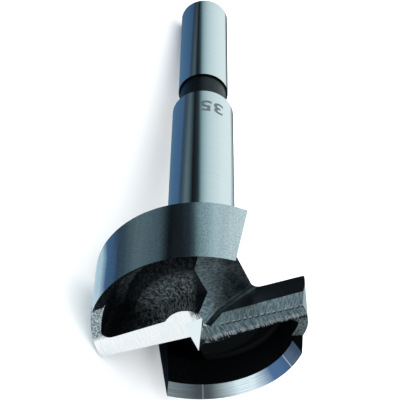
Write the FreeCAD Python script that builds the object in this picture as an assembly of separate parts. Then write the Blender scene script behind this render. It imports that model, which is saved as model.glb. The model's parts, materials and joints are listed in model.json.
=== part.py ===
import FreeCAD, Part
import math
import os
from FreeCAD import Matrix, Vector

# A forstner bit, turned, forged and ground from one piece of tool steel.
# Millimetres and degrees. It is modelled upright in its own working frame: the axis is Z, the rim's
# cutting edge lies in the plane z = 0, the shank is above it and the spur below. It drills by turning
# clockwise seen from the shank. Everything on the head comes twice, half a turn apart.

# Turned body
head_diameter = 35.0
head_height = 12.2
head_edge_break = 0.3
neck_diameter = 12.0
neck_length = 44.8
neck_edge_break = 0.6
groove_diameter = 9.3
groove_length = 6.4
shank_diameter = 10.0
shank_length = 28.0
shank_end_break = 0.8

# Lifters: the two straight cutting edges, each ground a little askew on its own bar
lifter_angle = -20.7
lifter_lead = 0.67
lifter_setback = 0.17
relief_angle = 10.6
land_width = 4.2
second_relief_angle = 18.5
bar_angle = -21.9

# Throats: the two openings that let the chips out past the lifters
rake_angle = 15.0
rake_height = 3.4
throat_back_offset = 0.32
throat_back_angle = 31.2
throat_corner_radius = 2.5
gullet_direction = 67.4
gullet_lean = 27.9
gullet_offset = 7.5
rim_end_angle = -72.5
rim_end_lean = 10.6

# Rim: the two curved scoring knives
rim_bevel_width = 1.75
rim_bevel_height = 1.8
knife_start_angle = 15.2
knife_start_lean = 17.0

# Pockets: the forged hollows between rim, lifter and hub
pocket_side_angle = -24.4
pocket_side_offset = 3.6
pocket_side_height = 0.9
pocket_side_draft = 12.0
hub_radius = 4.3
hub_draft = 8.0
hub_shift = 1.7
pocket_inner_depth = 4.0
pocket_outer_depth = 6.5
pocket_step_radius = 10.4
pocket_step_slope = 55.0
pocket_wall_draft = 19.0
pocket_corner_radius = 1.6
pocket_round = 1.0

# Spur: the three-sided point on the axis that guides the bit
spur_height = 3.7
spur_ridge_angles = (205.0, 280.0, 60.0)
spur_ridge_slope = 32.0
spur_base_height = 1.0

# Resting place: lying on the shank's end and on both sides of a throat
rest_throat_angle = 142.0
rest_search_angle = 15.0
rest_steepest_dip = 45.0
rest_search_step = 0.001
rest_mesh_deviation = 0.02

# How far the cutting shapes reach past what they cut
overshoot = 6.0
bevel_overshoot = 1.0

head_radius = head_diameter / 2
body_length = head_height + neck_length + groove_length + shank_length


def tan(degrees):
    return math.tan(math.radians(degrees))


def direction(degrees):
    """Unit vector across the axis, at this angle from X."""
    return Vector(math.cos(math.radians(degrees)), math.sin(math.radians(degrees)), 0)


def turned(outline):
    """Solid of revolution of (radius, height) points about the axis."""
    points = [Vector(radius, 0, height) for radius, height in outline]
    face = Part.Face(Part.makePolygon(points + points[:1]))
    return face.revolve(Vector(0, 0, 0), Vector(0, 0, 1), 360)


def rounded_outline(corners, radius):
    """Closed outline through (radius, height) corners; a corner marked True is rounded."""
    points = [Vector(r, 0, z) for r, z, _ in corners]
    edges = []
    count = len(points)
    starts = []
    ends = []
    arcs = []
    for i, corner in enumerate(points):
        if not corners[i][2]:
            starts.append(corner)
            ends.append(corner)
            arcs.append(None)
            continue
        back = (points[i - 1] - corner).normalize()
        ahead = (points[(i + 1) % count] - corner).normalize()
        half = back.getAngle(ahead) / 2
        reach = radius / math.tan(half)
        middle = corner + (back + ahead).normalize() * (radius / math.sin(half) - radius)
        starts.append(corner + back * reach)
        ends.append(corner + ahead * reach)
        arcs.append(Part.Arc(starts[-1], middle, ends[-1]).toShape())
    for i in range(count):
        if arcs[i]:
            edges.append(arcs[i])
        edges.append(Part.makeLine(ends[i], starts[(i + 1) % count]))
    return Part.Face(Part.Wire(edges))


def half_space(normal, level, lean=0.0, height=0.0):
    """Everything beyond a plane that stands at level along normal where z = height, and leans by
    lean degrees from upright, further along normal as z rises."""
    size = 12 * head_radius
    box = Part.makeBox(size, size, size, Vector(0, -size / 2, -size / 2))
    box.rotate(Vector(0, 0, 0), Vector(0, 1, 0), lean)
    box.translate(Vector(level, 0, height))
    angle = math.degrees(math.atan2(normal.y, normal.x))
    box.rotate(Vector(0, 0, 0), Vector(0, 0, 1), angle)
    return box


def along(angle, outline, start):
    """Bar of constant section: (distance behind a line at this angle, height) points, swept outwards."""
    edge = direction(angle)
    behind = direction(angle + 90)
    points = [edge * start + behind * n + Vector(0, 0, z) for n, z in outline]
    face = Part.Face(Part.makePolygon(points + points[:1]))
    return face.extrude(edge * (2 * head_radius - start))


def rounded_corners(room, radius):
    """The room with a round corner along each edge on the head that is nearer upright than level."""
    def in_corner(edge):
        middle = edge.CenterOfMass
        run = edge.tangentAt(edge.FirstParameter)
        upright = abs(run.z) > math.hypot(run.x, run.y)
        return upright and math.hypot(middle.x, middle.y) < 2 * head_radius

    return room.makeFillet(radius, [edge for edge in room.Edges if in_corner(edge)])


def both_sides(shape):
    """The shape and its copy half a turn round the axis."""
    copy = shape.copy()
    copy.rotate(Vector(0, 0, 0), Vector(0, 0, 1), 180)
    return [shape, copy]


def turned_body():
    """Head disc, neck, clamping groove and shank, as they leave the lathe."""
    head = head_radius
    neck = neck_diameter / 2
    groove = groove_diameter / 2
    shank = shank_diameter / 2
    neck_top = head_height + neck_length
    groove_top = neck_top + groove_length
    return turned([
        (0, 0),
        (head, 0),
        (head, head_height - head_edge_break),
        (head - head_edge_break, head_height),
        (neck, head_height),
        (neck, neck_top - neck_edge_break),
        (neck - neck_edge_break, neck_top),
        (groove, neck_top),
        (groove, groove_top),
        (shank, groove_top),
        (shank, body_length - shank_end_break),
        (shank - shank_end_break, body_length),
        (0, body_length)])


def rim_wall(first, last):
    """Cone inside the rim's wall, between two heights."""
    inner = head_radius - rim_bevel_width
    slope = tan(pocket_wall_draft)
    return turned([
        (0, first),
        (inner - (first - rim_bevel_height) * slope, first),
        (inner - (last - rim_bevel_height) * slope, last),
        (0, last)])


def throat():
    """Room ahead of one lifter, from the spur's level up through the back of the head."""
    low = -overshoot
    high = head_height + overshoot
    far = -3 * head_radius
    ahead_of_rake = along(lifter_angle, [
        (far, low),
        (-lifter_lead + (low - lifter_setback) * tan(rake_angle), low),
        (-lifter_lead + (high - lifter_setback) * tan(rake_angle), high),
        (far, high)], -2 * head_radius)
    ahead_of_back = along(bar_angle, [
        (far, low),
        (throat_back_offset + (low - rake_height) * tan(throat_back_angle), low),
        (throat_back_offset + (high - rake_height) * tan(throat_back_angle), high),
        (far, high)], -2 * head_radius)
    gullet_normal = direction(gullet_direction - 90)
    gullet = half_space(gullet_normal, gullet_offset, gullet_lean, head_height)
    by_rake = rounded_corners(ahead_of_rake.common(gullet), throat_corner_radius)
    by_back = rounded_corners(ahead_of_back.common(gullet), throat_corner_radius)
    room = by_rake.fuse(by_back)
    end_normal = direction(rim_end_angle + 90)
    past_rim_end = half_space(end_normal, 0, rim_end_lean, 0)
    inside_rim = rim_wall(low, high)
    return room.common(past_rim_end.fuse(inside_rim))


def pocket():
    """Forged hollow behind one lifter: deep along the rim, shallower round the hub."""
    low = -overshoot
    wall = tan(pocket_wall_draft)
    inner = head_radius - rim_bevel_width
    step = (pocket_outer_depth - pocket_inner_depth) / tan(pocket_step_slope)
    outline = rounded_outline([
        (0, low, False),
        (inner - (low - rim_bevel_height) * wall, low, False),
        (inner - (pocket_outer_depth - rim_bevel_height) * wall, pocket_outer_depth, True),
        (pocket_step_radius + step, pocket_outer_depth, False),
        (pocket_step_radius, pocket_inner_depth, False),
        (0, pocket_inner_depth, False)], pocket_round)
    hollow = outline.revolve(Vector(0, 0, 0), Vector(0, 0, 1), 360)
    side = direction(pocket_side_angle + 90)
    back = half_space(side, pocket_side_offset, pocket_side_draft, pocket_side_height)
    corner_angle = pocket_side_angle + math.degrees(math.asin(pocket_side_offset / inner))
    beside_rim = half_space(direction(corner_angle + 180), -inner, pocket_wall_draft, rim_bevel_height)
    back = rounded_corners(back.common(beside_rim), pocket_corner_radius)
    hub = turned([
        (0, low),
        (hub_radius + low * tan(hub_draft), low),
        (hub_radius + head_height * tan(hub_draft), head_height),
        (0, head_height)])
    hub.translate(direction(bar_angle) * hub_shift)
    return hollow.common(back).common(rim_wall(low, head_height)).cut(hub)


def knife_bevel():
    """Ground bevel on the inside of one scoring knife."""
    slope = rim_bevel_height / rim_bevel_width
    inner = head_radius - rim_bevel_width
    ring = turned([
        (inner - bevel_overshoot, -bevel_overshoot),
        (head_radius + bevel_overshoot / slope, -bevel_overshoot),
        (inner, rim_bevel_height),
        (inner - bevel_overshoot, rim_bevel_height)])
    behind_bar = half_space(direction(pocket_side_angle + 90), pocket_side_offset)
    return ring.common(behind_knife_start()).common(behind_bar)


def behind_knife_start():
    """Side of the knife's start that the knife is on."""
    normal = direction(knife_start_angle + 90)
    return half_space(normal, 0, -knife_start_lean, 0)


def relief():
    """Ground clearance under one lifter, steeper from the pocket on, up to the knife's start."""
    edge = -lifter_lead
    land_end = edge + land_width
    land_height = lifter_setback + land_width * tan(relief_angle)
    reach = head_radius
    outline = [
        (edge - overshoot, -overshoot),
        (edge - overshoot, lifter_setback - overshoot * tan(relief_angle)),
        (land_end, land_height),
        (reach, land_height + (reach - land_end) * tan(second_relief_angle)),
        (reach, -overshoot)]
    land = along(lifter_angle, outline, 0).cut(behind_knife_start())
    hub = Part.makeCylinder(pocket_step_radius, 2 * overshoot, Vector(0, 0, -overshoot))
    past_axis = half_space(direction(lifter_angle), 0)
    past_other_lifter = half_space(direction(lifter_angle + 90), lifter_lead)
    own_side = past_axis.fuse(past_other_lifter)
    return land.fuse(along(lifter_angle, outline, -2 * hub_radius).common(hub).common(own_side))


def spur():
    """Three-sided ground point on the axis."""
    tip = Vector(0, 0, -spur_height)
    reach = (spur_height + spur_base_height) * tan(spur_ridge_slope)
    corners = [direction(a) * reach + Vector(0, 0, spur_base_height) for a in spur_ridge_angles]
    faces = [Part.Face(Part.makePolygon(corners + corners[:1]))]
    for first, second in zip(corners, corners[1:] + corners[:1]):
        faces.append(Part.Face(Part.makePolygon([first, second, tip, first])))
    return Part.Solid(Part.Shell(faces))


def upright_bit():
    """The whole bit in its working frame."""
    bit = turned_body()
    for cut in (throat, pocket, knife_bevel, relief):
        for side in both_sides(cut()):
            bit = bit.cut(side)
    return bit.fuse(spur()).removeSplitter().Solids[0]


def lowest(function, low, high):
    """Place of the least value of a function that has one dip between low and high."""
    while high - low > rest_search_step:
        third = (high - low) / 3
        if function(low + third) < function(high - third):
            high = high - third
        else:
            low = low + third
    return (low + high) / 2


def resting_down(points, centre):
    """Direction that points down at rest, where the centre of mass comes to lie lowest."""
    def down(turn, dip):
        side = direction(turn) * math.cos(math.radians(dip))
        return side + Vector(0, 0, math.sin(math.radians(dip)))

    def centre_height(turn, dip):
        way = down(turn, dip)
        return max(point.dot(way) for point in points) - centre.dot(way)

    def resting_dip(turn):
        return lowest(lambda dip: centre_height(turn, dip), 0, rest_steepest_dip)

    turn = lowest(
        lambda turn: centre_height(turn, resting_dip(turn)),
        rest_throat_angle - rest_search_angle,
        rest_throat_angle + rest_search_angle)
    return down(turn, resting_dip(turn))


def laid_down(bit):
    """The bit lying at rest: spur to the front, shank to the back, middle of its box over 0, 0."""
    def may_touch(point):
        on_head = math.hypot(point.x, point.y) > head_radius - head_edge_break
        return on_head or point.z > body_length - overshoot

    points = [point for point in bit.tessellate(rest_mesh_deviation)[0] if may_touch(point)]
    up = resting_down(points, bit.CenterOfMass) * -1
    ahead = (Vector(0, 0, 1) - up * up.z).normalize()
    right = ahead.cross(up)
    turn = Matrix(
        right.x, right.y, right.z, 0,
        ahead.x, ahead.y, ahead.z, 0,
        up.x, up.y, up.z, 0,
        0, 0, 0, 1)
    lying = bit.transformed(turn)
    box = lying.BoundBox
    lying.translate(Vector(-box.Center.x, -box.Center.y, -box.ZMin))
    return lying


os.makedirs("parts", exist_ok=True)
laid_down(upright_bit()).exportStep("parts/forstner_bit.step")
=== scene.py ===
import bmesh
import bpy
import json
import math
from mathutils import Matrix, Vector


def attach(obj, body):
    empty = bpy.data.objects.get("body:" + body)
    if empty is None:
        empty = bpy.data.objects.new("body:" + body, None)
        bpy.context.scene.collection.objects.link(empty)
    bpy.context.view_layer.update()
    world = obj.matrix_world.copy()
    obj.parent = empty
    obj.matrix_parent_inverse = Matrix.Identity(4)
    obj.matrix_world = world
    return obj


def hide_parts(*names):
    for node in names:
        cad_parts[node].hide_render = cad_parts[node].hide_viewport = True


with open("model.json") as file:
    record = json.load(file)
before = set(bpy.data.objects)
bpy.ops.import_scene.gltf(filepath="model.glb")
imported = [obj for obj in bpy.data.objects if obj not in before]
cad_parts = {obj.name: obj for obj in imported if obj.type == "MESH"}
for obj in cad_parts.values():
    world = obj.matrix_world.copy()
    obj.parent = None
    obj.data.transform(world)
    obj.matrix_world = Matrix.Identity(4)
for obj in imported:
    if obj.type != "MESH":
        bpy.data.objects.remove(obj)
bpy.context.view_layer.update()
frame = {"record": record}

# Turned blank.
# A bar of tool steel, upset at one end for the head and turned on a lathe: head disc, neck, clamping
# groove and the shank that the chuck holds. Its round faces are ground last, and stay bright.

# Sizes are in millimetres, on the blank as it stands in the lathe, where every cut is made: the axis
# is Z, the rim's cutting edge is at z = 0, and the shank is above it.
head_radius = 17.5
head_height = 12.2
head_edge_break = 0.3
neck_radius = 6.0
neck_top = head_height + 44.8
neck_edge_break = 0.6
groove_radius = 4.65
groove_top = neck_top + 6.4
shank_radius = 5.0
bit_top = groove_top + 28.0
shank_end_break = 0.8
facets_round = 288
mm = 0.001

# Cutters reach this far past what they cut, and corners closer than the weld are one corner.
overshoot = 6.0
weld = 0.0005

# How the bit lies: the record's mount, on the axis, gives its direction, and the roll turns it.
mount_below_top = 14.4
resting_roll = math.radians(52.0891)
level = Vector((1, 0, 0))
up = Vector((0, 0, 1))
shank_mount = frame["record"]["mounts"][0]
axis_up_the_shank = Vector(shank_mount["axis"]).normalized()
steep = level.cross(axis_up_the_shank)
bit_x = level * math.cos(resting_roll) + steep * math.sin(resting_roll)
bit_y = axis_up_the_shank.cross(bit_x)
bit_turn = Matrix((bit_x, bit_y, axis_up_the_shank)).transposed()
bit_origin = Vector(shank_mount["pos_m"]) - axis_up_the_shank * (bit_top - mount_below_top) * mm
lying = Matrix.Translation(bit_origin) @ bit_turn.to_4x4() @ Matrix.Scale(mm, 4)


def direction(degrees):
    """Unit vector across the axis, at this angle from X."""
    return Vector((math.cos(math.radians(degrees)), math.sin(math.radians(degrees)), 0))


def tan(degrees):
    return math.tan(math.radians(degrees))


def node(tree, kind, inputs=None, **settings):
    """Adds a node to a tree, sets what it does, and fills or links its inputs."""
    made = tree.nodes.new(kind)
    for name, value in settings.items():
        setattr(made, name, value)
    for name, value in (inputs or {}).items():
        if isinstance(value, bpy.types.NodeSocket):
            tree.links.new(value, made.inputs[name])
        else:
            made.inputs[name].default_value = value
    return made


def solid(name, corners, faces, material):
    """A mesh object, its faces turned outwards."""
    mesh = bpy.data.meshes.new(name)
    mesh.from_pydata([tuple(corner) for corner in corners], [], faces)
    shell = bmesh.new()
    shell.from_mesh(mesh)
    bmesh.ops.recalc_face_normals(shell, faces=shell.faces[:])
    shell.to_mesh(mesh)
    shell.free()
    made = bpy.data.objects.new(name, mesh)
    bpy.context.scene.collection.objects.link(made)
    mesh.materials.append(material)
    return made


def turned(name, outline, material, middle=(0, 0)):
    """Solid of revolution of (radius, height) points, from axis to axis or a ring round it."""
    corners = []
    rings = []
    for radius, height in outline:
        count = 1 if radius == 0 else facets_round
        rings.append(range(len(corners), len(corners) + count))
        for i in range(count):
            around = direction(360 * i / facets_round) * radius
            corners.append((around.x + middle[0], around.y + middle[1], height))
    faces = []
    if outline[0][0] > 0:
        rings.append(rings[0])
    for lower, upper in zip(rings, rings[1:]):
        for i in range(facets_round):
            j = (i + 1) % facets_round
            if len(lower) == 1:
                faces.append((lower[0], upper[i], upper[j]))
            elif len(upper) == 1:
                faces.append((lower[i], lower[j], upper[0]))
            else:
                faces.append((lower[i], lower[j], upper[j], upper[i]))
    return solid(name, corners, faces, material)


def banded(piece, material, first, last):
    """Gives the bands of a turned piece, from one line of its outline to another, a finish."""
    piece.data.materials.append(material)
    number = len(piece.data.materials) - 1
    for face in piece.data.polygons[first * facets_round:(last + 1) * facets_round]:
        face.material_index = number


def settled(piece):
    """Applies the modifiers of a piece, keeping the result as its mesh."""
    view = bpy.context.evaluated_depsgraph_get()
    result = bpy.data.meshes.new_from_object(piece.evaluated_get(view), depsgraph=view)
    piece.modifiers.clear()
    piece.data = result
    return piece


def welded(piece, reach):
    """Joins the corners of a piece that lie this close together."""
    shell = bmesh.new()
    shell.from_mesh(piece.data)
    bmesh.ops.remove_doubles(shell, verts=shell.verts[:], dist=reach)
    bmesh.ops.dissolve_degenerate(shell, dist=reach, edges=shell.edges[:])
    shell.to_mesh(piece.data)
    shell.free()
    return piece


def combined(piece, operation, *tools):
    """Cuts, joins or intersects a piece with tools, which are used up. New faces keep their finish."""
    for tool in tools:
        change = piece.modifiers.new("cut", "BOOLEAN")
        change.operation = operation
        change.solver = "EXACT"
        change.material_mode = "TRANSFER"
        change.object = tool
        welded(settled(piece), weld)
        bpy.data.objects.remove(tool)
    return piece


def bit_coordinates(tree):
    """Place on the bit as it stands in the lathe, in millimetres, for a pattern."""
    from_world = bit_turn.transposed()
    place = node(tree, "ShaderNodeTexCoord")
    return node(tree, "ShaderNodeMapping", {
        "Vector": place.outputs["Object"],
        "Location": from_world @ bit_origin * -1 / mm,
        "Rotation": from_world.to_euler(),
        "Scale": (1 / mm, 1 / mm, 1 / mm)}).outputs["Vector"]


def noise(tree, place, scale, detail, roughness, distortion=0.0):
    """Cloudy noise from 0 to 1."""
    return node(tree, "ShaderNodeTexNoise", {
        "Vector": place, "Scale": scale, "Detail": detail, "Roughness": roughness,
        "Distortion": distortion}).outputs["Fac"]


def fine_lines_group():
    """Marks that a grinding wheel or a milling cutter leaves: noise drawn out along one direction."""
    tree = bpy.data.node_groups.new("fine tool lines", "ShaderNodeTree")
    for name in ("Turn", "Stretch"):
        tree.interface.new_socket(name=name, in_out="INPUT", socket_type="NodeSocketVector")
    for name in ("Tone", "Cloud"):
        tree.interface.new_socket(name=name, in_out="OUTPUT", socket_type="NodeSocketFloat")
    given = node(tree, "NodeGroupInput").outputs
    turned_place = node(tree, "ShaderNodeMapping", {
        "Vector": bit_coordinates(tree), "Rotation": given["Turn"]}).outputs["Vector"]
    drawn_out = node(tree, "ShaderNodeVectorMath", {
        0: turned_place, 1: given["Stretch"]}, operation="MULTIPLY").outputs["Vector"]
    node(tree, "NodeGroupOutput", {
        "Tone": noise(tree, drawn_out, 1.0, 4.0, 0.65),
        "Cloud": noise(tree, turned_place, 0.35, 3.0, 0.6)})
    return tree


fine_lines = fine_lines_group()


def tool_lines(tree, turn, stretch):
    """The marks of one tool: outputs Tone and Cloud."""
    marks = tree.nodes.new("ShaderNodeGroup")
    marks.node_tree = fine_lines
    marks.inputs["Turn"].default_value = turn
    marks.inputs["Stretch"].default_value = stretch
    return marks.outputs


def grit(tree, scale):
    """Speckle of this many grains to the millimetre."""
    return noise(tree, bit_coordinates(tree), scale, 3.0, 0.65)


def between(tree, value, low, high, to_low=0.0, to_high=1.0):
    """A value spread from one range to another, and held at its ends."""
    return node(tree, "ShaderNodeMapRange", {
        "Value": value, "From Min": low, "From Max": high,
        "To Min": to_low, "To Max": to_high}).outputs["Result"]


def maths(tree, operation, first, second=0.0):
    """One sum on values."""
    return node(tree, "ShaderNodeMath", {0: first, 1: second}, operation=operation).outputs["Value"]


def blended(tree, factor, first, second):
    """One colour turning into another."""
    mix = node(tree, "ShaderNodeMix", {"Factor": factor}, data_type="RGBA")
    for socket, value in ((mix.inputs[6], first), (mix.inputs[7], second)):
        if isinstance(value, bpy.types.NodeSocket):
            tree.links.new(value, socket)
        else:
            socket.default_value = (*value, 1)
    return mix.outputs[2]


def raised(tree, height, strength, distance, normal=None):
    """Relief of this height, in metres, as a normal."""
    inputs = {"Height": height, "Strength": strength, "Distance": distance}
    if normal:
        inputs["Normal"] = normal
    return node(tree, "ShaderNodeBump", inputs).outputs["Normal"]


def new_finish(name, metallic=1.0):
    """A new material, bare metal unless told otherwise, and its tree."""
    made = bpy.data.materials.new(name)
    made.use_nodes = True
    made.node_tree.nodes["Principled BSDF"].inputs["Metallic"].default_value = metallic
    return made, made.node_tree


def finished(made, tone, roughness, relief=None):
    """Gives a material its tone, roughness and relief."""
    shader = made.node_tree.nodes["Principled BSDF"]
    for socket, value in (("Base Color", tone), ("Roughness", roughness), ("Normal", relief)):
        if value:
            made.node_tree.links.new(value, shader.inputs[socket])
    return made


square_to_axis = (0, 0, 0)


def ground_round():
    """Cylindrically ground steel: bright, with hair lines round the axis."""
    made, tree = new_finish("ground_round_steel")
    lines = tool_lines(tree, square_to_axis, (0.25, 0.25, 9.0))
    tone = blended(tree, lines["Tone"], (0.62, 0.70, 0.72), (0.80, 0.875, 0.885))
    roughness = between(tree, lines["Cloud"], 0.3, 0.7, 0.06, 0.10)
    return finished(made, tone, roughness, raised(tree, lines["Tone"], 0.15, 0.000004))


def ground_head():
    """The head's outside, ground with a coarser wheel: greyer, with a sparkle and soft bands."""
    made, tree = new_finish("ground_head_steel")
    sparkle = grit(tree, 5.0)
    grains = between(tree, sparkle, 0.35, 0.65)
    bands = tool_lines(tree, square_to_axis, (0.70, 0.70, 0.03))["Tone"]
    dull = blended(tree, grains, (0.40, 0.475, 0.50), (0.70, 0.785, 0.805))
    clear = blended(tree, grains, (0.50, 0.58, 0.60), (0.76, 0.84, 0.85))
    tone = blended(tree, between(tree, bands, 0.40, 0.58), dull, clear)
    roughness = between(tree, sparkle, 0.3, 0.7, 0.07, 0.12)
    return finished(made, tone, roughness, raised(tree, sparkle, 0.12, 0.000006))


def dark_turned():
    """The clamping groove, which no wheel reaches: black from hardening, with turning lines."""
    made, tree = new_finish("dark_turned_steel")
    lines = tool_lines(tree, square_to_axis, (0.2, 0.2, 6.0))["Tone"]
    tone = blended(tree, lines, (0.010, 0.014, 0.017), (0.050, 0.064, 0.070))
    roughness = between(tree, lines, 0.3, 0.7, 0.28, 0.40)
    return finished(made, tone, roughness, raised(tree, lines, 0.4, 0.00002))


bit = turned("forstner_bit_steel", [
    (0, 0),
    (head_radius, 0),
    (head_radius, head_height - head_edge_break),
    (head_radius - head_edge_break, head_height),
    (neck_radius, head_height),
    (neck_radius, neck_top - neck_edge_break),
    (neck_radius - neck_edge_break, neck_top),
    (groove_radius, neck_top),
    (groove_radius, groove_top),
    (shank_radius, groove_top),
    (shank_radius, bit_top - shank_end_break),
    (shank_radius - shank_end_break, bit_top),
    (0, bit_top)], ground_round())
head_bands = (1, 3)
groove_bands = (6, 8)
banded(bit, ground_head(), *head_bands)
banded(bit, dark_turned(), *groove_bands)

# Throats.
# Two openings milled right through the head, one ahead of each straight cutting edge, let the chips
# out. The cutter leaves a round corner between the lifter's face and the gullet, and a fine grain.

lifter_angle = -20.7
lifter_lead = 0.67
lifter_setback = 0.17
rake_angle = 15.0
rake_height = 3.4
bar_angle = -21.9
throat_back_offset = 0.32
throat_back_angle = 31.2
throat_corner_radius = 0.9
gullet_direction = 67.4
gullet_lean = 27.9
gullet_offset = 7.5
rim_end_angle = -72.5
rim_end_lean = 10.6
rim_bevel_width = 1.75
rim_bevel_height = 1.8
pocket_wall_draft = 19.0
throat_low = -1.5
throat_high = head_height + overshoot
corner_facets = 24

# Planes that two cutters share are set apart by a clearance, so that neither leaves a skin.
wall_clearance = 0.02
fine_clearance = 0.005

# The painted glint along the cutting edges: where it starts and is full, how wide it is, and its beads.
glint_start = 3.0
glint_full = 4.5
glint_width = 0.36
glint_fade = 0.10
glint_slant = 1.6
glint_bead_rate = 6.6

near_black = (0.006, 0.009, 0.012)
white = (1.0, 1.0, 1.0)

outwards = direction(lifter_angle)
behind = direction(lifter_angle + 90)
behind_bar = direction(bar_angle + 90)
gullet_across = direction(gullet_direction - 90)


def product(tree, first, *others):
    """Values multiplied together."""
    for other in others:
        first = maths(tree, "MULTIPLY", first, other)
    return first


def along_direction(tree, vector, axis):
    """How far a place or a direction reaches along an axis."""
    return node(tree, "ShaderNodeVectorMath", {
        0: vector, 1: axis}, operation="DOT_PRODUCT").outputs["Value"]


def parts_of(tree, vector):
    """A vector's parts, X, Y and Z."""
    return node(tree, "ShaderNodeSeparateXYZ", {"Vector": vector}).outputs


def edge_glint_painted(tree):
    """A painted glint along each straight cutting edge, as a row of bright and dark beads: outputs
    how much of it there is, and its tone."""
    place = bit_coordinates(tree)
    outside = along_direction(tree, place, outwards)
    over_edge = maths(tree, "ADD", along_direction(tree, place, behind), lifter_lead)
    above_edge = maths(tree, "SUBTRACT", parts_of(tree, place)["Z"], lifter_setback)
    from_edge = maths(
        tree, "MAXIMUM", maths(tree, "ABSOLUTE", over_edge), maths(tree, "ABSOLUTE", above_edge))
    beaded = product(
        tree, between(tree, from_edge, glint_width, glint_width + glint_fade, 1.0, 0.0),
        between(tree, outside, glint_start, glint_full))
    slanting = maths(tree, "ADD", outside, product(tree, over_edge, glint_slant))
    beads = maths(tree, "SINE", product(tree, slanting, glint_bead_rate))
    return beaded, between(tree, beads, -0.3, 0.5)


def milled():
    """Milled steel: dark from hardening, with cutter marks across at an angle. Beside the hub a band
    of painted sheen lightens it, though not past the gullet's face; past the face, in the round
    corner, it has painted shade, and the throat on the far side is painted near black as shade."""
    made, tree = new_finish("milled_steel")
    lines = tool_lines(tree, (0, math.radians(45), math.radians(-gullet_direction)), (1.2, 0.35, 9.0))
    place = bit_coordinates(tree)
    across = along_direction(tree, place, gullet_across)
    face_here = maths(
        tree, "ADD", product(tree, parts_of(tree, place)["Z"], tan(gullet_lean)),
        gullet_offset - head_height * tan(gullet_lean))
    past_face = maths(tree, "SUBTRACT", across, face_here)
    # Painted sheen: a lighter band beside the hub, stopped at the gullet's face.
    wandering = maths(tree, "ADD", across, between(tree, lines["Cloud"], 0.3, 0.7, -0.8, 0.8))
    painted_sheen = product(
        tree, between(tree, wandering, 6.6, 2.6), between(tree, past_face, 0.02, 0.20, 1.0, 0.0),
        between(tree, across, 0.0, 0.5))
    sharp = between(tree, lines["Tone"], 0.38, 0.62)
    dark = blended(tree, sharp, (0.022, 0.032, 0.038), (0.12, 0.165, 0.19))
    # Painted shade: darker past the gullet's face, in the round corner.
    dark = blended(tree, between(tree, past_face, 0.02, 0.15, 0.0, 0.7), dark, (0.016, 0.024, 0.029))
    # Painted shade: the throat on the far side of the axis, near black.
    dark = blended(tree, between(tree, across, -0.5, 0.5, 1.0, 0.0), dark, near_black)
    light = blended(tree, sharp, (0.28, 0.40, 0.48), (0.86, 1.0, 1.0))
    roughness = between(tree, painted_sheen, 0.0, 1.0, 0.28, 0.46)
    return finished(
        made, blended(tree, painted_sheen, dark, light), roughness, raised(tree, lines["Tone"], 0.5, 0.00004))


def honed_rake():
    """The lifter's front face, ground along the bar: satin, with short lines square to the edge."""
    made, tree = new_finish("honed_rake_steel")
    lines = tool_lines(tree, (0, 0, math.radians(-lifter_angle)), (5.0, 0.7, 0.7))["Tone"]
    tone = blended(tree, between(tree, lines, 0.42, 0.58), (0.36, 0.52, 0.60), (0.92, 1.0, 1.0))
    # Painted glint: white beads along the cutting edge, also raised as a bump.
    bright = product(tree, *edge_glint_painted(tree))
    ground = raised(tree, lines, 0.4, 0.00003)
    return finished(
        made, blended(tree, bright, tone, white), between(tree, lines, 0.3, 0.7, 0.42, 0.52),
        raised(tree, bright, 1.0, 0.00020, ground))


milled_steel = milled()
honed_rake_steel = honed_rake()


def prism(name, section, ends, material):
    """A solid with one section, carried from one end to the other."""
    count = len(section)
    corners = [point + end for end in ends for point in section]
    faces = [tuple(range(count)), tuple(range(count, 2 * count))]
    for i in range(count):
        j = (i + 1) % count
        faces.append((i, j, j + count, i + count))
    return solid(name, corners, faces, material)


def wedge(name, first, second, radius, materials):
    """Room between two planes, each a (normal, point) pair, with a round corner along their edge. The
    first plane's face takes the first of the materials, and the rest takes the last."""
    (normal_a, point_a), (normal_b, point_b) = first, second
    along = normal_a.cross(normal_b).normalized()
    start = Matrix((normal_a, normal_b, along)).inverted() @ Vector((
        normal_a.dot(point_a), normal_b.dot(point_b), along.dot(up * head_height / 2)))
    side_a = (normal_b - normal_a * normal_a.dot(normal_b)).normalized()
    side_b = (normal_a - normal_b * normal_a.dot(normal_b)).normalized()
    half = side_a.angle(side_b) / 2
    middle = start + (side_a + side_b).normalized() * radius / math.sin(half)
    reach = 4 * head_radius
    section = [start + side_a * reach]
    turn = (math.pi - 2 * half) / corner_facets
    across = (side_a + side_b).normalized() * -1
    sideways = along.cross(across)
    if sideways.dot(side_a) < 0:
        sideways = sideways * -1
    for i in range(corner_facets + 1):
        angle = math.pi / 2 - half - i * turn
        section.append(middle + (across * math.cos(angle) + sideways * math.sin(angle)) * radius)
    section.append(start + side_b * reach)
    section.append(start + (side_a + side_b) * reach)
    made = prism(name, section, (along * -reach, along * reach), materials[-1])
    made.data.materials.append(materials[0])
    after_both_ends = 2
    made.data.polygons[after_both_ends].material_index = 1
    return made


square_corners = ((-1, -1), (1, -1), (1, 1), (-1, 1))


def half_space(name, normal, offset, lean, height, material):
    """Everything beyond a plane at an offset along normal where z = height, leaning as z rises."""
    inwards = (normal - up * tan(lean)).normalized()
    point = normal * offset + up * height
    size = 8 * head_radius
    side = up.cross(normal)
    rise = inwards.cross(side)
    square = [point + side * a * size + rise * b * size for a, b in square_corners]
    return prism(name, square, (Vector((0, 0, 0)), inwards * size), material)


def rim_wall(name, first, last, clearance, material):
    """Cone inside the rim's wall, between two heights."""
    inner = head_radius - rim_bevel_width - clearance
    slope = tan(pocket_wall_draft)
    return turned(name, [
        (0, first),
        (inner - (first - rim_bevel_height) * slope, first),
        (inner - (last - rim_bevel_height) * slope, last),
        (0, last)], material)


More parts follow.
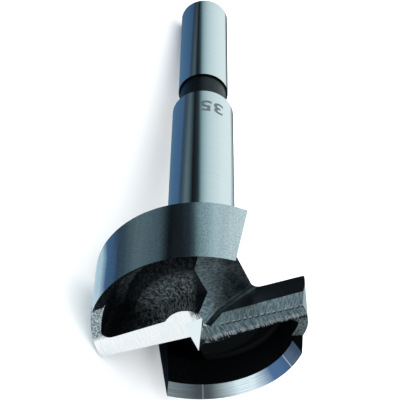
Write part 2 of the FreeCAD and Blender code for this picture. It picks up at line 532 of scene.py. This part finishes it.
def half_turn_copies_tree():
    """Geometry Nodes: everything on the head comes twice, half a turn apart, as one cutter."""
    tree = bpy.data.node_groups.new("half turn copies", "GeometryNodeTree")
    tree.is_modifier = True
    for name, kind in (("Cutter", "Geometry"), ("Copies", "Int"), ("Finish", "Material")):
        tree.interface.new_socket(name=name, in_out="INPUT", socket_type="NodeSocket" + kind)
    tree.interface.new_socket(name="Cutter", in_out="OUTPUT", socket_type="NodeSocketGeometry")
    given = node(tree, "NodeGroupInput").outputs
    places = node(tree, "GeometryNodePoints", {"Count": given["Copies"]})
    share = maths(tree, "DIVIDE", math.tau, given["Copies"])
    number = node(tree, "GeometryNodeInputIndex")
    angle = maths(tree, "MULTIPLY", number.outputs["Index"], share)
    turn = node(tree, "ShaderNodeCombineXYZ", {"Z": angle})
    copies = node(tree, "GeometryNodeInstanceOnPoints", {
        "Points": places.outputs["Points"], "Instance": given["Cutter"],
        "Rotation": turn.outputs["Vector"]})
    joined = node(tree, "GeometryNodeMeshBoolean", {
        "Mesh 2": copies.outputs["Instances"]}, operation="UNION", solver="EXACT")
    real = node(tree, "GeometryNodeRealizeInstances", {"Geometry": joined.outputs["Mesh"]})
    slot_number = node(tree, "GeometryNodeInputMaterialIndex")
    main_finish = node(tree, "FunctionNodeCompare", {
        2: slot_number.outputs["Material Index"], 3: 0}, data_type="INT", operation="EQUAL")
    dressed = node(tree, "GeometryNodeSetMaterial", {
        "Geometry": real.outputs["Geometry"], "Selection": main_finish.outputs["Result"],
        "Material": given["Finish"]})
    node(tree, "NodeGroupOutput", {"Cutter": dressed.outputs["Geometry"]})
    return tree


half_turn_copies = half_turn_copies_tree()


def cut_both_sides(cutter, finish):
    """Takes a cutter and its copy half a turn round the axis out of the bit."""
    copies = cutter.modifiers.new("both sides", "NODES")
    copies.node_group = half_turn_copies
    identifiers = {item.name: item.identifier for item in half_turn_copies.interface.items_tree
                   if item.in_out == "INPUT"}
    copies[identifiers["Copies"]] = 2
    copies[identifiers["Finish"]] = finish
    combined(bit, "DIFFERENCE", settled(cutter))


rake_plane = (
    (up * tan(rake_angle) - behind).normalized(),
    behind * -lifter_lead + up * lifter_setback)
back_plane = (
    (up * tan(throat_back_angle) - behind_bar).normalized(),
    behind_bar * throat_back_offset + up * rake_height)
gullet_plane = (
    (gullet_across - up * tan(gullet_lean)).normalized(),
    gullet_across * gullet_offset + up * head_height)
just_inside_gullet = (gullet_plane[0], gullet_plane[1] + gullet_plane[0] * fine_clearance)
throat = wedge(
    "throat", rake_plane, gullet_plane, throat_corner_radius, (honed_rake_steel, milled_steel))
throat_back = wedge(
    "throat_back", back_plane, just_inside_gullet, throat_corner_radius, (milled_steel,))
combined(throat, "UNION", throat_back)
inside_rim = rim_wall("inside_rim", throat_low, throat_high, wall_clearance, milled_steel)
past_rim_end = half_space(
    "past_rim_end", direction(rim_end_angle + 90), 0, rim_end_lean, 0, milled_steel)
combined(inside_rim, "UNION", past_rim_end)
combined(throat, "INTERSECT", inside_rim)
throat_depth = half_space("throat_depth", level, -4 * head_radius, 0, 0, milled_steel)
for corner in throat_depth.data.vertices:
    corner.co.z = throat_low if corner.co.z < 0 else throat_high
combined(throat, "INTERSECT", throat_depth)
cut_both_sides(throat, milled_steel)

# Pockets.
# Behind each lifter the head is forged hollow, deep along the rim and shallower round the hub. The
# forging's dark skin stays in the hollows, since no wheel reaches it.

pocket_side_angle = -24.4
pocket_side_offset = 3.6
pocket_side_height = 0.9
pocket_side_draft = 12.0
hub_radius = 4.3
hub_draft = 8.0
hub_shift = 1.7
pocket_inner_depth = 4.0
pocket_outer_depth = 6.5
pocket_step_radius = 10.4
pocket_step_slope = 55.0
pocket_corner_radius = 1.6
pocket_round = 1.0
round_facets = 10

pocket_side = direction(pocket_side_angle + 90)


def from_axis(tree, parts):
    """Distance of a place from the bit's axis."""
    return maths(tree, "SQRT", maths(
        tree, "ADD", product(tree, parts["X"], parts["X"]), product(tree, parts["Y"], parts["Y"])))


def forged():
    """Forging skin: near black, finely scaled and dull. Chips scratch it to bare metal, in short hairs
    away from the hub. The side that lies uppermost is painted lighter as lit and alone shows the
    hairs; the other side is painted darker as shade."""
    made, tree = new_finish("forged_skin", 0.85)
    parts = parts_of(tree, bit_coordinates(tree))
    radius = from_axis(tree, parts)
    around = maths(tree, "ARCTAN2", parts["Y"], parts["X"])
    round_hub = node(tree, "ShaderNodeCombineXYZ", {
        "X": product(tree, around, 24.0),
        "Y": product(tree, radius, 1.3),
        "Z": product(tree, parts["Z"], 1.3)}).outputs["Vector"]
    hairs = noise(tree, round_hub, 1.0, 3.0, 0.6, 0.9)
    scale = grit(tree, 2.5)
    hair = between(tree, maths(tree, "ADD", hairs, product(tree, scale, 0.25)), 0.56, 0.78)
    by_hub = between(tree, radius, 4.5, 10.5, 0.46, 0.05)
    # Painted light and shade: the uppermost side lighter and scratched, the other darker and plain.
    lit_side_painted = between(tree, parts["Y"], 2.0, -2.0, 0.10, 1.0)
    left_of_throat = between(tree, parts["X"], -0.4, -1.6)
    bare = product(tree, hair, by_hub, lit_side_painted, left_of_throat)
    skin = blended(tree, lit_side_painted, (0.001, 0.0015, 0.002), (0.008, 0.012, 0.015))
    tone = blended(tree, bare, skin, (0.80, 0.97, 1.0))
    roughness = between(tree, bare, 0.0, 0.6, 0.50, 0.34)
    coarse = raised(tree, hairs, 0.4, 0.00010)
    return finished(made, tone, roughness, raised(tree, scale, 0.3, 0.00006, coarse))


forged_skin = forged()


def rounded(outline, radius, corner):
    """An outline of (radius, height) points with one corner made round."""
    before, here, after = [Vector(outline[i]) for i in (corner - 1, corner, corner + 1)]
    back = (before - here).normalized()
    ahead = (after - here).normalized()
    half = back.angle(ahead) / 2
    middle = here + (back + ahead).normalized() * radius / math.sin(half)
    inwards = (here - middle).normalized()
    first = here + back * radius / math.tan(half) - middle
    sideways = (first - inwards * first.dot(inwards)).normalized()
    arc = []
    for i in range(round_facets + 1):
        angle = (math.pi / 2 - half) * (1 - 2 * i / round_facets)
        arc.append(tuple(middle + (inwards * math.cos(angle) + sideways * math.sin(angle)) * radius))
    return outline[:corner] + arc + outline[corner + 1:]


wall_slope = tan(pocket_wall_draft)
wall_foot = head_radius - rim_bevel_width
step_width = (pocket_outer_depth - pocket_inner_depth) / tan(pocket_step_slope)
floor_edge = 2
pocket = turned("pocket", rounded([
    (0, -overshoot),
    (wall_foot + (overshoot + rim_bevel_height) * wall_slope, -overshoot),
    (wall_foot - (pocket_outer_depth - rim_bevel_height) * wall_slope, pocket_outer_depth),
    (pocket_step_radius + step_width, pocket_outer_depth),
    (pocket_step_radius, pocket_inner_depth),
    (0, pocket_inner_depth)], pocket_round, floor_edge), forged_skin)
corner_angle = pocket_side_angle + math.degrees(math.asin(pocket_side_offset / wall_foot))
from_corner = direction(corner_angle + 180)
bar_side = (
    (pocket_side - up * tan(pocket_side_draft)).normalized(),
    pocket_side * pocket_side_offset + up * pocket_side_height)
rim_side = (
    (from_corner - up * wall_slope).normalized(),
    from_corner * -wall_foot + up * rim_bevel_height)
combined(pocket, "INTERSECT", wedge(
    "pocket_corner", bar_side, rim_side, pocket_corner_radius, (forged_skin,)))
hub_middle = direction(bar_angle) * hub_shift
hub = turned("hub", [
    (0, -2 * overshoot),
    (hub_radius - 2 * overshoot * tan(hub_draft), -2 * overshoot),
    (hub_radius + head_height * tan(hub_draft), head_height),
    (0, head_height)], forged_skin, (hub_middle.x, hub_middle.y))
combined(pocket, "DIFFERENCE", hub)
cut_both_sides(pocket, forged_skin)

# Rim knives and lands.
# The rim is ground to a bevel on its inside, which makes the two curved knives that score the hole's
# edge, and the bar and the hub get a ground clearance behind the straight edge.

relief_angle = 10.6
land_width = 4.2
second_relief_angle = 18.5
knife_start_angle = 15.2
knife_start_lean = 17.0
bevel_overshoot = 1.0
bevel_reach = 0.3

# Angles round the axis: three deeper wheel lines, and where a blue reflection is painted on a knife.
deep_line_angles = (87, 57, 28)
blue_reflection_fades_from, blue_reflection_fades_to = 42, 56
blue_reflection_starts, blue_reflection_is_full = 8, 30
painted_blue_reflection = (0.078, 0.155, 0.300)


def ground_land():
    """Freshly ground land: bright, with wheel lines square to the cutting edge. One lifter's land is
    torn where it runs out into the forging, and its border is ragged."""
    made, tree = new_finish("ground_land_steel")
    lines = tool_lines(tree, (0, 0, math.radians(-lifter_angle)), (6.0, 0.45, 0.45))["Tone"]
    place = bit_coordinates(tree)
    behind_edge = maths(tree, "ABSOLUTE", along_direction(tree, place, pocket_side))
    rough_side = between(tree, along_direction(tree, place, outwards), -0.4, 0.8)
    to_border = between(tree, behind_edge, pocket_side_offset - 1.3, pocket_side_offset, 0.22, 0.62)
    left_dark = product(
        tree, between(tree, maths(tree, "SUBTRACT", to_border, lines), 0.0, 0.04), rough_side)
    on_rim = product(
        tree, between(tree, from_axis(tree, parts_of(tree, place)), 14.6, 15.2),
        between(tree, behind_edge, land_width - 0.6, land_width + 0.3))
    ticks = between(tree, lines, 0.38, 0.60)
    clean = blended(tree, ticks, (0.84, 0.90, 0.92), white)
    ticked = blended(tree, ticks, (0.17, 0.23, 0.26), white)
    scoured = blended(
        tree, between(tree, grit(tree, 3.0), 0.42, 0.60), (0.10, 0.135, 0.15), (0.50, 0.58, 0.60))
    tone = blended(tree, rough_side, clean, ticked)
    tone = blended(tree, left_dark, tone, (0.014, 0.018, 0.022))
    tone = blended(tree, on_rim, tone, scoured)
    # Painted glint: its dark beads, painted near black beside the cutting edge.
    beaded, beads = edge_glint_painted(tree)
    tone = blended(tree, product(tree, beaded, maths(tree, "SUBTRACT", 1.0, beads)), tone, near_black)
    smooth = between(tree, lines, 0.3, 0.7, 0.20, 0.30)
    torn = between(tree, behind_edge, pocket_side_offset - 1.5, pocket_side_offset - 0.3)
    ground = raised(tree, lines, 0.5, 0.00003)
    return finished(
        made, tone, between(tree, left_dark, 0.0, 1.0, smooth, 0.6),
        raised(tree, product(tree, rough_side, torn, ticks), 0.8, 0.00018, ground))


def ground_bevel():
    """The knives' bevel and the spur: the brightest finish, with a few deeper wheel lines up the
    slope."""
    made, tree = new_finish("ground_bevel_steel")
    parts = parts_of(tree, bit_coordinates(tree))
    around = maths(tree, "ARCTAN2", parts["Y"], parts["X"])
    round_rim = node(tree, "ShaderNodeCombineXYZ", {
        "X": product(tree, around, 2.0), "Z": product(tree, parts["Z"], 7.0)}).outputs["Vector"]
    wheel = noise(tree, round_rim, 1.0, 4.0, 0.7)
    deep = 0.0
    for angle in deep_line_angles:
        off_line = maths(tree, "ABSOLUTE", maths(tree, "SUBTRACT", around, math.radians(angle)))
        deep = maths(tree, "MAXIMUM", deep, between(tree, off_line, 0.003, 0.010, 0.6, 0.0))
    on_spur = product(tree, *(
        between(tree, maths(tree, "ABSOLUTE", parts[axis]), 3.5, 4.0, 1.0, 0.0) for axis in ("X", "Y")))
    # Painted reflection: one knife's bevel tinted blue.
    blue_reflection_amount = product(
        tree, between(tree, around, math.radians(blue_reflection_fades_to), math.radians(blue_reflection_fades_from)),
        between(tree, around, math.radians(blue_reflection_starts), math.radians(blue_reflection_is_full), 0.3, 1.0),
        between(tree, parts["X"], 9.0, 10.0))
    tone = blended(tree, between(tree, wheel, 0.35, 0.6), (0.56, 0.69, 0.75), (0.82, 0.94, 0.98))
    tone = blended(tree, on_spur, tone, (0.84, 0.92, 0.94))
    tone = blended(tree, blue_reflection_amount, tone, painted_blue_reflection)
    tone = blended(tree, deep, tone, white)
    roughness = between(tree, deep, 0.0, 1.0, 0.16, 0.5)
    return finished(made, tone, roughness, raised(tree, wheel, 0.15, 0.00001))


ground_land_steel = ground_land()
ground_bevel_steel = ground_bevel()


def behind_knife_start(name, material):
    """The side of a knife's start that the knife is on."""
    return half_space(name, direction(knife_start_angle + 90), 0, -knife_start_lean, 0, material)


knife_slope = rim_bevel_height / rim_bevel_width
bevel_top = rim_bevel_height + bevel_reach * knife_slope
knife_bevel = turned("knife_bevel", [
    (wall_foot - bevel_overshoot, -bevel_overshoot),
    (head_radius + bevel_overshoot / knife_slope, -bevel_overshoot),
    (wall_foot - bevel_reach, bevel_top),
    (wall_foot - bevel_overshoot, bevel_top)], ground_bevel_steel)
combined(knife_bevel, "INTERSECT", behind_knife_start("knife_start", forged_skin))
combined(knife_bevel, "INTERSECT", half_space(
    "behind_pocket_side", pocket_side, pocket_side_offset, 0, 0, forged_skin))
cut_both_sides(knife_bevel, ground_bevel_steel)

land_start = -lifter_lead
land_end = land_start + land_width
land_height = lifter_setback + land_width * tan(relief_angle)
relief_outline = [
    (land_start - overshoot, -overshoot),
    (land_start - overshoot, lifter_setback - overshoot * tan(relief_angle)),
    (land_end, land_height),
    (head_radius, land_height + (head_radius - land_end) * tan(second_relief_angle)),
    (head_radius, -overshoot)]


def along_lifter(name, outline, start, end, material):
    """Bar of (distance behind the lifter's line, height) points, between two distances outwards."""
    section = [behind * n + up * z for n, z in outline]
    return prism(name, section, (outwards * start, outwards * end), material)


relief = along_lifter("relief", relief_outline, -2 * hub_radius, 2 * head_radius, ground_land_steel)
knife_side = behind_knife_start("knife_side", forged_skin)
round_hub = turned("round_hub", [
    (0, -2 * overshoot),
    (pocket_step_radius, -2 * overshoot),
    (pocket_step_radius, 2 * overshoot),
    (0, 2 * overshoot)], ground_land_steel)
combined(knife_side, "DIFFERENCE", round_hub)
other_side = [
    (-2 * overshoot, -2 * overshoot),
    (-2 * overshoot, 2 * overshoot),
    (lifter_lead, 2 * overshoot),
    (lifter_lead, -2 * overshoot)]
other_land = along_lifter("other_land", other_side, -3 * hub_radius, -wall_clearance, ground_land_steel)
combined(relief, "DIFFERENCE", knife_side, other_land)
cut_both_sides(relief, ground_land_steel)

# Spur.
# The three-sided point on the axis bites first and guides the bit. It is ground from the hub, so it
# is one piece with it.

spur_height = 3.7
spur_ridge_angles = (205.0, 280.0, 60.0)
spur_ridge_slope = 32.0
spur_base_height = 1.0

spur_reach = (spur_height + spur_base_height) * tan(spur_ridge_slope)
spur_corners = [direction(angle) * spur_reach + up * spur_base_height for angle in spur_ridge_angles]
spur = solid("spur", spur_corners + [up * -spur_height], [
    (0, 1, 2), (0, 1, 3), (1, 2, 3), (2, 0, 3)], ground_bevel_steel)
combined(bit, "UNION", spur)

# Size number.
# The cutting diameter in millimetres is etched on the neck, its foot towards the shank. Its lines
# are matt and a little below the ground face.

number_height = 3.2
number_place = 51.9
number_angle = -72.5
number_depth = 0.03
number_width_share = 1.18
number_boldness = 0.02
number_clear = 0.5
number_weld = 0.001


def etched():
    """Etched steel: matt grey with a fine bite."""
    made, tree = new_finish("etched_steel", 0.8)
    bite = grit(tree, 6.0)
    tone = blended(tree, bite, (0.14, 0.17, 0.18), (0.34, 0.38, 0.40))
    return finished(made, tone, between(tree, bite, 0.3, 0.7, 0.45, 0.6))


text = bpy.data.curves.new("size_number", "FONT")
text.body = "35"
text.align_x = "CENTER"
text.align_y = "CENTER"
text.extrude = number_clear
text.offset = number_boldness
text.resolution_u = 5
letters = bpy.data.objects.new("size_number_letters", text)
bpy.context.scene.collection.objects.link(letters)
view = bpy.context.evaluated_depsgraph_get()
number_mesh = bpy.data.meshes.new_from_object(letters.evaluated_get(view), depsgraph=view)
bpy.data.objects.remove(letters)
number_mesh.materials.clear()
number_mesh.materials.append(etched())
tall = max(v.co.y for v in number_mesh.vertices) - min(v.co.y for v in number_mesh.vertices)
grow = number_height / tall
for corner in number_mesh.vertices:
    sunk = neck_radius - number_depth if corner.co.z < 0 else neck_radius + number_clear
    angle = math.radians(number_angle) - corner.co.x * grow * number_width_share / neck_radius
    height = number_place - corner.co.y * grow
    corner.co = (sunk * math.cos(angle), sunk * math.sin(angle), height)
number_tool = bpy.data.objects.new("size_number", number_mesh)
bpy.context.scene.collection.objects.link(number_tool)
shell = bmesh.new()
shell.from_mesh(number_mesh)
bmesh.ops.remove_doubles(shell, verts=shell.verts[:], dist=number_weld)
bmesh.ops.recalc_face_normals(shell, faces=shell.faces[:])
shell.to_mesh(number_mesh)
shell.free()
combined(bit, "DIFFERENCE", number_tool)

# The finished bit.
# Skins without thickness are taken off, flat faces joined up and round ones shaded smooth. Then the
# bit is laid down as it comes to rest: on the shank's end and on both sides of a throat.

flat_within = math.radians(0.3)
sharp_over = math.radians(24)

shell = bmesh.new()
shell.from_mesh(bit.data)
bmesh.ops.remove_doubles(shell, verts=shell.verts[:], dist=weld)
# A skin is a pair of faces on the same corners.
same_corners = {}
for face in shell.faces:
    same_corners.setdefault(frozenset(face.verts), []).append(face)
skins = [face for faces in same_corners.values() if len(faces) == 2 for face in faces]
bmesh.ops.delete(shell, geom=skins, context="FACES")
bmesh.ops.dissolve_limit(
    shell, angle_limit=flat_within, verts=shell.verts[:], edges=shell.edges[:], delimit={"MATERIAL"})
shell.to_mesh(bit.data)
shell.free()
bit.data.transform(lying)
for face in bit.data.polygons:
    face.use_smooth = True
bit.data.set_sharp_from_angle(angle=sharp_over)
even = bit.modifiers.new("even shading", "WEIGHTED_NORMAL")
even.keep_sharp = True
settled(bit)
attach(bit, "root")
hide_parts("forstner_bit")

# Table, lights and camera.
# A wide pale table in even light. The bright steel reflects soft boxes all round: a large one
# behind, a low one in front, one at each side and one overhead. In reflections the table glows with
# a painted blue-grey mat under the bit, painted shadows beside it and a painted white sheet.

# The table and the soft boxes are in metres, the lens and its sensor in millimetres.
table_size = 6.0
soft_box_width = 0.6
soft_box_depth = 0.4
soft_box_power = 0.6
diffuse_air_strength = 1.55
lens_length = 96.138
sensor_width = 36.0


def ramp(tree, value, stops):
    """A colour for each of several places on a scale from 0 to 1."""
    made = node(tree, "ShaderNodeValToRGB", {"Fac": value})
    while len(made.color_ramp.elements) < len(stops):
        made.color_ramp.elements.new(1.0)
    for element, (place, colour) in zip(made.color_ramp.elements, stops):
        element.position = place
        element.color = (*colour, 1)
    return made.outputs["Color"]


def scaled(tree, colour, factor):
    """A colour made brighter or darker."""
    made = node(tree, "ShaderNodeVectorMath", {0: colour}, operation="SCALE")
    tree.links.new(factor, made.inputs["Scale"])
    return made.outputs["Vector"]


def added(tree, first, second):
    """Two colours added."""
    return node(tree, "ShaderNodeVectorMath", {0: first, 1: second}, operation="ADD").outputs["Vector"]


def table_top():
    """Pale matt table. To reflections it glows instead with a painted reflection: blue-grey with
    painted light from the left, painted shadows beside the bit and a white patch in front."""
    made, tree = new_finish("pale_table", 0.0)
    shader = tree.nodes["Principled BSDF"]
    shader.inputs["Roughness"].default_value = 0.9
    shader.inputs["Specular IOR Level"].default_value = 0.0
    shader.inputs["Emission Strength"].default_value = 1.0
    place = parts_of(tree, node(tree, "ShaderNodeTexCoord").outputs["Object"])
    x = maths(tree, "DIVIDE", place["X"], mm)
    y = maths(tree, "DIVIDE", place["Y"], mm)
    left = product(tree, x, -1.0)
    # Painted reflection: blue-grey tones, lit from the left, with a painted darker band.
    from_bit = maths(tree, "SUBTRACT", left, between(tree, y, -30, -12, 12.0, 6.0))
    painted_reflection = ramp(tree, between(tree, from_bit, -6, 60), [
        (0.00, (0.110, 0.200, 0.310)),
        (0.09, (0.080, 0.172, 0.300)),
        (0.17, (0.068, 0.148, 0.285)),
        (0.22, (0.068, 0.140, 0.260)),
        (0.27, (0.045, 0.078, 0.130)),
        (0.33, (0.052, 0.089, 0.118)),
        (0.42, (0.095, 0.140, 0.170)),
        (0.50, (0.125, 0.180, 0.205)),
        (0.75, (0.115, 0.170, 0.195)),
        (1.00, (0.100, 0.150, 0.180))])
    # Painted light: a pale patch under the side of the head.
    by_head = product(tree, between(tree, y, -22, -28), between(tree, from_bit, 5.5, 2.5))
    painted_reflection = blended(tree, by_head, painted_reflection, (0.52, 0.70, 0.82))
    # Painted shade: darker further from the bit.
    far = maths(tree, "ADD", y, product(tree, left, 0.3))
    painted_reflection = scaled(tree, painted_reflection, ramp(tree, between(tree, far, 30, 340), [
        (0.00, (1.0, 1.0, 1.0)),
        (0.12, (0.75, 0.75, 0.75)),
        (0.20, (0.52, 0.52, 0.52)),
        (0.32, (0.35, 0.35, 0.35)),
        (0.55, (0.17, 0.17, 0.17)),
        (1.00, (0.06, 0.06, 0.06))]))
    # Painted shadow: dark right of the neck, where the bit shades the table.
    painted_shadow_right = blended(tree, between(tree, x, 35, 75), (0.012, 0.017, 0.023), (0.40, 0.48, 0.50))
    painted_reflection = blended(tree, between(tree, x, 0, 5), painted_reflection, painted_shadow_right)
    # Painted shadow: dark navy by the bit's contact in front, with painted white beyond it.
    painted_shadow_front = blended(tree, between(tree, x, 6, 16), (0.035, 0.075, 0.150), (0.130, 0.190, 0.215))
    along_edge = maths(tree, "SUBTRACT", product(tree, y, -1.0), product(tree, x, 1.4))
    painted_white_sheet = blended(tree, between(tree, along_edge, 40, 56), painted_shadow_front, (0.95, 0.98, 0.99))
    painted_reflection = blended(tree, between(tree, y, -36, -47), painted_reflection, painted_white_sheet)
    # For glossy rays the table glows with this painted reflection instead of being lit.
    mirrored = node(tree, "ShaderNodeLightPath").outputs["Is Glossy Ray"]
    pale = blended(tree, mirrored, (0.95, 0.96, 0.965), (0, 0, 0))
    tree.links.new(pale, shader.inputs["Base Color"])
    tree.links.new(blended(tree, mirrored, (0, 0, 0), painted_reflection), shader.inputs["Emission Color"])
    return made


table_corners = [(x * table_size / 2, y * table_size / 2, 0) for x, y in square_corners]
table = solid("table", table_corners, [(0, 1, 2, 3)], table_top())


def soft_light(name, place):
    """A soft box that lights the table, facing the bit. The steel sees the ones in the air below."""
    light = bpy.data.lights.new(name, "AREA")
    light.shape = "RECTANGLE"
    light.size = soft_box_width
    light.size_y = soft_box_depth
    light.energy = soft_box_power
    made = bpy.data.objects.new(name, light)
    made.location = place
    made.rotation_mode = "QUATERNION"
    made.rotation_quaternion = Vector(place).to_track_quat("Z", "Y")
    made.visible_glossy = False
    bpy.context.scene.collection.objects.link(made)


soft_light("back_soft_box", (0.05, 0.45, 0.40))
soft_light("front_soft_box", (-0.30, -0.40, 0.45))


def studio_air():
    """The air round the table: even light for the table, and the soft boxes as the steel sees them."""
    studio = bpy.data.worlds.new("studio")
    studio.use_nodes = True
    tree = studio.node_tree
    towards = node(tree, "ShaderNodeTexCoord").outputs["Generated"]
    parts = parts_of(tree, towards)
    from_left_edge = along_direction(tree, towards, Vector((0.745, 0.345, 0.570)))
    back_box = ramp(tree, between(tree, from_left_edge, -0.2, 0.8), [
        (0.00, (0.002, 0.003, 0.004)),
        (0.10, (0.012, 0.021, 0.026)),
        (0.15, (0.042, 0.070, 0.080)),
        (0.20, (0.155, 0.235, 0.260)),
        (0.27, (0.310, 0.420, 0.455)),
        (0.40, (0.480, 0.600, 0.640)),
        (0.52, (0.600, 0.710, 0.735)),
        (0.70, (0.720, 0.820, 0.840)),
        (1.00, (0.880, 0.960, 0.970))])
    below_top = between(tree, parts["Z"], 0.60, 0.72, 1.0, 0.05)
    left_of_end = between(tree, parts["X"], 0.62, 0.80, 1.0, 0.04)
    at_the_back = between(tree, parts["Y"], 0.0, 0.2)
    back_box = scaled(tree, back_box, product(tree, below_top, left_of_end, at_the_back))
    low = between(tree, parts["Z"], 0.02, 0.34, 0.75, 0.05)
    overhead = between(tree, parts["Z"], 0.50, 0.80, 0.0, 0.25)
    front_box = product(tree, maths(tree, "ADD", low, overhead), between(tree, parts["Y"], -0.1, -0.5))
    beside = between(tree, maths(tree, "ABSOLUTE", parts["X"]), 0.78, 0.86, 0.0, 0.6)
    side_box = product(
        tree, beside, between(tree, parts["Z"], 0.02, 0.08),
        between(tree, parts["Z"], 0.34, 0.42, 1.0, 0.0))
    top_box = between(tree, parts["Z"], 0.84, 0.95, 0.0, 0.5)
    brightest = maths(tree, "MAXIMUM", front_box, maths(tree, "MAXIMUM", side_box, top_box))
    boxes = added(tree, back_box, scaled(tree, (0.90, 0.98, 1.0), brightest))
    air = added(tree, boxes, (0.008, 0.011, 0.014))
    mirrored = node(tree, "ShaderNodeLightPath").outputs["Is Glossy Ray"]
    surround = tree.nodes["Background"]
    tree.links.new(blended(tree, mirrored, (0.95, 0.97, 0.98), air), surround.inputs["Color"])
    strength = between(tree, mirrored, 0.0, 1.0, diffuse_air_strength, 1.0)
    tree.links.new(strength, surround.inputs["Strength"])
    return studio


bpy.context.scene.world = studio_air()

# The camera's place and directions, as seen from the bit standing in the lathe, in millimetres.
camera_place = Vector((-0.24670, -131.52722, -111.43663))
camera_right = Vector((0.99982729, -0.01367193, 0.0125888))
camera_down = Vector((0.01858493, 0.73551902, -0.67724912))
camera_ahead = camera_right.cross(camera_down)
lens = bpy.data.cameras.new("camera")
lens.sensor_width = sensor_width
lens.lens = lens_length
lens.clip_start = 0.01
lens.clip_end = 20.0
camera = bpy.data.objects.new("camera", lens)
bpy.context.scene.collection.objects.link(camera)
look = Matrix((camera_right, camera_down * -1, camera_ahead * -1)).transposed()
camera.matrix_world = Matrix.Translation(lying @ camera_place) @ (bit_turn @ look).to_4x4()
bpy.context.scene.camera = camera
bpy.context.scene.view_settings.view_transform = "Standard"
